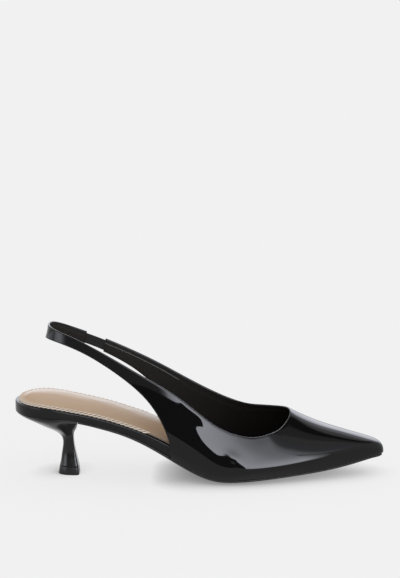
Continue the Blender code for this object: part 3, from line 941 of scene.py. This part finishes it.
def build_stitches():
    reach = float(turn(STITCH_END))
    at = np.linspace(-reach, reach, STITCH_PATH_STEPS)
    x, y, out = plan(at, sock_edge_line(at, STITCH_INSET))
    path = np.stack([x, y, upside(x) + GAP + STITCH_RISE], axis=-1) + SHIFT
    mesh = bpy.data.meshes.new("stitch_path")
    mesh.from_pydata(path.tolist(), [(i, i + 1) for i in range(len(path) - 1)], [])
    facing = out * math.cos(STITCH_FACING) + np.array([0, 0, math.sin(STITCH_FACING)])
    stored = mesh.attributes.new("facing", "FLOAT_VECTOR", "POINT")
    stored.data.foreach_set("vector", facing.ravel())
    obj = add_object("sock_stitches", mesh)
    modifier = obj.modifiers.new("stitches", "NODES")
    modifier.node_group = stitch_nodes(stitch_thread())
    values = {
        "Pitch": STITCH_PITCH, "Length": STITCH_LENGTH, "Width": STITCH_WIDTH,
        "Height": STITCH_HEIGHT, "Lean": STITCH_LEAN,
    }
    for socket in modifier.node_group.interface.items_tree:
        if socket.in_out == "INPUT" and socket.name in values:
            modifier[socket.identifier] = values[socket.name]
    graph = bpy.context.evaluated_depsgraph_get()
    stitched = bpy.data.meshes.new_from_object(obj.evaluated_get(graph))
    obj.modifiers.clear()
    obj.data = stitched
    stitched.name = "sock_stitches"
    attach(obj, "root")


# The heel


def stem_radius(angle, reach, half):
    """Distance from a stem's widest place to its face: round behind, squarer at the breast."""
    behind = np.cos(angle) < 0
    roundness = np.where(behind, STEM_BACK_ROUNDNESS, STEM_FRONT_ROUNDNESS)
    reach = reach * np.where(behind, 1 + STEM_SHIFT, 1 - STEM_SHIFT)
    far = np.abs(np.cos(angle) / reach) ** roundness + np.abs(np.sin(angle) / half) ** roundness
    return far ** (-1 / roundness)


def seat_radius(angle, inset):
    """Distance from the middle of the seat to the footbed's outline, cut off at the breast."""
    x, y, _ = plan(np.linspace(0, RING, SEAT_SAMPLES), -inset)
    x = x - HEEL_CENTRE * LENGTH
    seat = x < HEEL_BREAST * LENGTH
    facing = np.arctan2(y, -x)[seat]
    order = np.argsort(facing)
    wrapped = np.arctan2(np.sin(angle), -np.cos(angle))
    outline = np.interp(wrapped, facing[order], np.hypot(x, y)[seat][order])
    ahead = np.cos(angle) * outline
    front = (HEEL_BREAST - HEEL_CENTRE) * LENGTH
    return outline * np.minimum(1, front / np.maximum(ahead, front))


def heel_ring(level):
    """Points of the heel at a level from 0, under the footbed, to 1, on the top piece."""
    angle = np.linspace(0, 2 * math.pi, HEEL_STEPS, endpoint=False)
    share = 1 - level * (1 - (TOP_PIECE + GAP) / HEEL_HEIGHT)
    fallen = 1 - heel["height"]
    value = {
        name: both_sides(fallen, heel[name], heel[name], turn(1 - share)) for name in HEEL_COLUMNS
    }
    reach = (value["front"] - value["back"]) * LENGTH / 2
    middle = (value["front"] + value["back"]) * LENGTH / 2 + STEM_SHIFT * reach
    half = value["half"] * BALL_WIDTH
    gather = value["gather"]
    seat = seat_radius(angle, HEEL_INSET)
    behind = ease((SIDE_FROM - np.cos(angle)) / SIDE_BLEND)
    closed = gather ** (1 + SIDE_HOLD * behind * np.sin(angle) ** 2)
    radius = (1 - closed) * seat + closed * stem_radius(angle, reach, half)
    centre = (1 - gather) * HEEL_CENTRE * LENGTH + gather * middle
    x = centre + radius * np.cos(angle)
    y = radius * np.sin(angle)
    sloped = (1 - gather) * (underside(x) - HEEL_HEIGHT)
    return np.stack([x, y, share * HEEL_HEIGHT - GAP * (1 - level) + sloped], axis=-1)


def build_heel():
    body = Body()
    rings = [body.ring(heel_ring(level)) for level in np.linspace(1, 0, HEEL_LEVELS)]
    body.bridge_all(rings)
    body.faces.append(tuple(rings[0][::-1]))
    body.span(rings[-1], True, True)
    mesh_piece("heel_covered", "heel", body.points, body.faces, [heel_cover()])


def build_top_piece():
    base = heel_ring(1.0)
    middle = base.mean(axis=0)
    reach = np.linalg.norm(base - middle, axis=1).mean()
    edges = [(drop, inset) for inset, drop in reversed(quarter_round(TOP_PIECE_ROUND))]
    edges += [(TOP_PIECE - drop, inset) for inset, drop in quarter_round(TOP_PIECE_ROUND / 2)]
    body = Body()
    rings = []
    for height, inset in edges:
        flare = TOP_PIECE_FLARE * (1 - height / TOP_PIECE)
        points = middle + (base - middle) * (1 + flare - inset / reach)
        points[:, 2] = height
        rings.append(body.ring(points))
    body.bridge_all(rings)
    body.faces.append(tuple(rings[0][::-1]))
    body.faces.append(tuple(rings[-1]))
    mesh_piece(
        "top_piece_rubber_tip", "top_piece", body.points, body.faces,
        [rubber("black_top_piece_rubber", 0.008, 0.3)],
    )


# Stage, light and camera
FLOOR_REACH = 12.0
FLOOR_TONE = 0.88
FLOOR_GLOW = 0.85  # share of the floor's light that is its own
FLOOR_NEAR = 0.022  # how close a thing has to be to dim it
FLOOR_LEAN = math.radians(55)  # how far from upright the light that it is open to leans
FLOOR_TURN = math.radians(45)  # which way that is, from the camera towards the toe
SKY = 1.0  # radiance all round
CAMERA_AZIMUTH = math.radians(1.0)
CAMERA_ELEVATION = math.radians(12.7)
CAMERA_DISTANCE = 1.8
CAMERA_TARGET = Vector((0.0003, 0.0, 0.135))
SENSOR = 36.0
FOCAL_PIXELS = 2558
PICTURE_HEIGHT = 578

# Light panels and dark flags that only the shoe's gloss sees: a name, its distance, stops of azimuth
# (0 towards the camera, 90 to the toe) with a share, and stops of elevation with a radiance. At a
# share of 1 the panel glows with its radiance, at 0 as the sky does, and past them in proportion.
PANELS = (
    (
        "front_softbox", 11.0,
        (
            (-2.0, -0.05), (-1.4, 0.04), (-0.8, 0.16), (0.1, 0.55), (1.3, 0.7), (2.8, 0.95),
            (8.0, 1.0), (33.5, 1.0), (36.0, 0.35), (37.5, 0.05),
        ),
        ((-4.0, 9.0), (10.0, 11.5), (20.0, 9.0), (29.0, 6.0), (42.0, 3.5), (62.0, 1.0)),
    ),
    (
        "front_fill", 10.9, ((34.0, 1.0), (36.5, 0.75), (39.0, 0.3), (41.0, 0.1), (52.0, 0.05)),
        ((30.0, 1.0), (35.0, 4.6), (40.0, 3.8), (47.0, 2.6), (56.0, 2.2), (66.0, 1.0)),
    ),
    ("front_flag", 10.0, ((-46.0, 1.0), (10.5, 1.0)), ((-4.0, 0.15), (9.6, 0.15))),
    ("front_screen", 10.5, ((-46.0, 1.0), (-2.0, 1.0)), ((9.0, 0.5), (30.0, 0.6), (60.0, 1.0))),
    (
        "side_screen", 9.8,
        (
            (-150.0, 0.5), (-110.0, 0.8), (-91.0, 1.0), (-82.0, 0.8), (-75.0, 0.1), (-70.0, 1.2),
            (-62.0, 2.7), (-52.0, 3.8), (-45.0, 3.7), (-40.0, 2.4), (-34.6, 0.25), (-30.0, -0.5),
        ),
        ((-4.0, 2.0), (25.0, 2.0), (40.0, 1.0)),
    ),
    (
        "back_panel", 10.0, ((128.0, 0.2), (138.0, 0.6), (150.0, 1.0), (200.0, 1.0), (208.0, 0.2)),
        (
            (-4.0, 1.0), (6.0, 1.2), (14.0, 3.0), (25.0, 4.5), (34.0, 5.4), (38.5, 5.2), (41.0, 2.8),
            (43.0, 2.0), (50.0, 2.0), (55.0, 1.1),
        ),
    ),
    (
        "top_flag", 9.5,
        ((70.0, 0.1), (80.0, 0.5), (99.0, 0.55), (105.0, 1.0), (124.0, 1.0), (132.0, 0.1)),
        ((46.0, 0.9), (53.0, 0.10), (72.0, 0.10), (80.0, 0.9)),
    ),
)
PANEL_TINT = (0.97, 0.985, 1.07, 1.0)  # the bright panels are a little cool
PANEL_GRID = 1.5  # how finely a panel is divided, in degrees


def build_floor():
    """A pale floor: part of its light is its own, dimmed only where something is very close."""
    far = FLOOR_REACH
    mesh = bpy.data.meshes.new("floor")
    mesh.from_pydata([(-far, -far, 0), (far, -far, 0), (far, far, 0), (-far, far, 0)], [], [(0, 1, 2, 3)])
    lit = FLOOR_TONE * (1 - FLOOR_GLOW)
    material, shader = principled("pale_floor", (lit, lit, lit), 1.0, Specular_IOR_Level=0.0)
    tree = material.node_tree
    near = openness(tree, FLOOR_NEAR)
    lean = tree.nodes.new("ShaderNodeCombineXYZ")
    flat = math.sin(FLOOR_LEAN)
    way = (flat * math.sin(FLOOR_TURN), -flat * math.cos(FLOOR_TURN), math.cos(FLOOR_LEAN))
    for axis, value in zip("XYZ", way):
        lean.inputs[axis].default_value = value
    tree.links.new(lean.outputs["Vector"], near.inputs["Normal"])
    shader.inputs["Emission Color"].default_value = (1.0, 1.0, 1.0, 1.0)
    glow = times(tree, near.outputs["AO"], FLOOR_TONE * FLOOR_GLOW)
    tree.links.new(glow, shader.inputs["Emission Strength"])
    mesh.materials.append(material)
    add_object("floor", mesh)


def stops_grid(stops):
    """Places between the first and the last stop, with the value at each."""
    places, values = np.array(stops).T
    count = max(2, round((places[-1] - places[0]) / PANEL_GRID))
    even = np.union1d(np.linspace(places[0], places[-1], count), places)
    return even, np.interp(even, places, values)


def build_panel(name, distance, azimuths, elevations):
    """Part of a sphere round the shoe that glows, unseen by the camera and without a shadow."""
    azimuth, share = stops_grid(azimuths)
    elevation, radiance = stops_grid(elevations)
    a, e = np.meshgrid(np.radians(azimuth), np.radians(elevation), indexing="ij")
    points = distance * np.stack([np.sin(a) * np.cos(e), -np.cos(a) * np.cos(e), np.sin(e)], axis=-1)
    glow = SKY + share[:, None] * (radiance[None, :] - SKY)
    index = np.arange(glow.size).reshape(glow.shape)
    quads = np.stack([index[:-1, :-1], index[:-1, 1:], index[1:, 1:], index[1:, :-1]], axis=-1)
    mesh = bpy.data.meshes.new(name)
    mesh.from_pydata(points.reshape(-1, 3).tolist(), [], quads.reshape(-1, 4).tolist())
    stored = mesh.attributes.new("glow", "FLOAT", "POINT")
    stored.data.foreach_set("value", glow.ravel())
    panel = add_object(name, mesh)
    material = bpy.data.materials.new(name)
    material.use_nodes = True
    tree = material.node_tree
    tree.nodes.remove(tree.nodes["Principled BSDF"])
    emission = tree.nodes.new("ShaderNodeEmission")
    if radiance.max() > SKY:
        emission.inputs["Color"].default_value = PANEL_TINT
    value = tree.nodes.new("ShaderNodeAttribute")
    value.attribute_name = "glow"
    tree.links.new(value.outputs["Fac"], emission.inputs["Strength"])
    tree.links.new(emission.outputs["Emission"], tree.nodes["Material Output"].inputs["Surface"])
    mesh.materials.append(material)
    panel.visible_camera = False
    panel.visible_diffuse = False
    panel.visible_shadow = False


def build_world():
    world = bpy.data.worlds.new("studio")
    world.use_nodes = True
    sky = world.node_tree.nodes["Background"]
    sky.inputs["Color"].default_value = (1.0, 1.0, 1.0, 1.0)
    sky.inputs["Strength"].default_value = SKY
    bpy.context.scene.world = world
    bpy.context.scene.view_settings.view_transform = "Standard"


def build_camera():
    data = bpy.data.cameras.new("camera")
    data.sensor_width = SENSOR
    data.lens = FOCAL_PIXELS / PICTURE_HEIGHT * SENSOR
    camera = add_object("camera", data)
    flat = math.cos(CAMERA_ELEVATION)
    back = Vector(
        (math.sin(CAMERA_AZIMUTH) * flat, -math.cos(CAMERA_AZIMUTH) * flat, math.sin(CAMERA_ELEVATION))
    )
    camera.location = CAMERA_TARGET + CAMERA_DISTANCE * back
    camera.rotation_euler = back.to_track_quat("Z", "Y").to_euler()
    bpy.context.scene.camera = camera


# Everything in place

build_outsole()
build_footbed()
build_sock()
build_stitches()
build_heel()
build_top_piece()
build_upper()
build_elastic()
build_floor()
for panel in PANELS:
    build_panel(*panel)
build_world()
build_camera()
